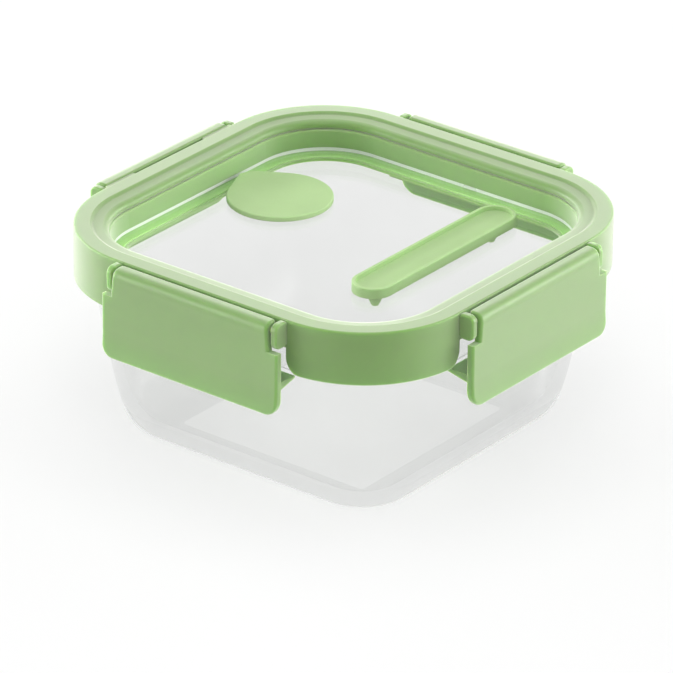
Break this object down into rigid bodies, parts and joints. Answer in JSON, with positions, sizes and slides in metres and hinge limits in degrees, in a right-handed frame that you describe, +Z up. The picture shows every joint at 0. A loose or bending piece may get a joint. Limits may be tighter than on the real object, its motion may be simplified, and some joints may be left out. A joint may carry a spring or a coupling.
{
  "type": "food storage container",
  "caption": "Square glass food container with a framed window lid, hinged snap clips on every side, a lifting steam flap and a push-in plug strip.",
  "frame": {"origin": "centre of the base, on the surface that the container stands on", "axes": "+Z up; +Y towards the back side, +X towards the side with the plug strip; the flap lies towards -X"},
  "size_m": [0.176, 0.176, 0.0805],
  "materials": {
    "glass": "clear, glossy pressed glass",
    "green_plastic": "satin moulded polypropylene",
    "green_silicone": "matt silicone",
    "clear_pane": "clear and glossy",
    "clear_silicone": "translucent silicone",
    "pin_plastic": "satin"
  },
  "bodies": {
    "glass": {"glass_container": "glass"},
    "lid": {"lid_frame": "green_plastic", "pane_retainer": "green_plastic", "lid_pane": "clear_pane", "pane_gasket": "green_silicone", "lid_seal": "clear_silicone", "flap_anchor": "green_silicone", "vent_strip": "green_silicone"},
    "flap": {"vent_flap": "green_silicone"},
    "pin_right": {"hinge_pin_right": "pin_plastic"},
    "latch_right": {"clip_right": "green_plastic"},
    "pin_back": {"hinge_pin_back": "pin_plastic"},
    "latch_back": {"clip_back": "green_plastic"},
    "pin_left": {"hinge_pin_left": "pin_plastic"},
    "latch_left": {"clip_left": "green_plastic"},
    "pin_front": {"hinge_pin_front": "pin_plastic"},
    "latch_front": {"clip_front": "green_plastic"}
  },
  "joints": [
    {"name": "lid_lift", "type": "slide", "parent": "glass", "child": "lid", "axis": [0, 0, 1], "range_m": [0, 0.03]},
    {"name": "unlatch_right", "type": "hinge", "parent": "lid", "child": "pin_right", "pos_m": [0.0841, 0, 0.0774], "axis": [0, -1, 0], "range_deg": [0, 90]},
    {"name": "clip_right_hinge", "type": "hinge", "parent": "pin_right", "child": "latch_right", "pos_m": [0.0841, 0, 0.0774], "axis": [0, -1, 0], "range_deg": [0, 80]},
    {"name": "unlatch_back", "type": "hinge", "parent": "lid", "child": "pin_back", "pos_m": [0, 0.0841, 0.0774], "axis": [1, 0, 0], "range_deg": [0, 90]},
    {"name": "clip_back_hinge", "type": "hinge", "parent": "pin_back", "child": "latch_back", "pos_m": [0, 0.0841, 0.0774], "axis": [1, 0, 0], "range_deg": [0, 80]},
    {"name": "unlatch_left", "type": "hinge", "parent": "lid", "child": "pin_left", "pos_m": [-0.0841, 0, 0.0774], "axis": [0, 1, 0], "range_deg": [0, 90]},
    {"name": "clip_left_hinge", "type": "hinge", "parent": "pin_left", "child": "latch_left", "pos_m": [-0.0841, 0, 0.0774], "axis": [0, 1, 0], "range_deg": [0, 80]},
    {"name": "unlatch_front", "type": "hinge", "parent": "lid", "child": "pin_front", "pos_m": [0, -0.0841, 0.0774], "axis": [-1, 0, 0], "range_deg": [0, 90]},
    {"name": "clip_front_hinge", "type": "hinge", "parent": "pin_front", "child": "latch_front", "pos_m": [0, -0.0841, 0.0774], "axis": [-1, 0, 0], "range_deg": [0, 80]},
    {"name": "flap_hinge", "type": "hinge", "parent": "lid", "child": "flap", "pos_m": [-0.06045, 0.02275, 0.07], "axis": [-0.3256, -0.9455, 0], "range_deg": [0, 75]}
  ],
  "couplings": [
    {"joint": "unlatch_right", "follows": "lid_lift", "rad_per_m": 52.35},
    {"joint": "unlatch_back", "follows": "lid_lift", "rad_per_m": 52.35},
    {"joint": "unlatch_left", "follows": "lid_lift", "rad_per_m": 52.35},
    {"joint": "unlatch_front", "follows": "lid_lift", "rad_per_m": 52.35}
  ]
}
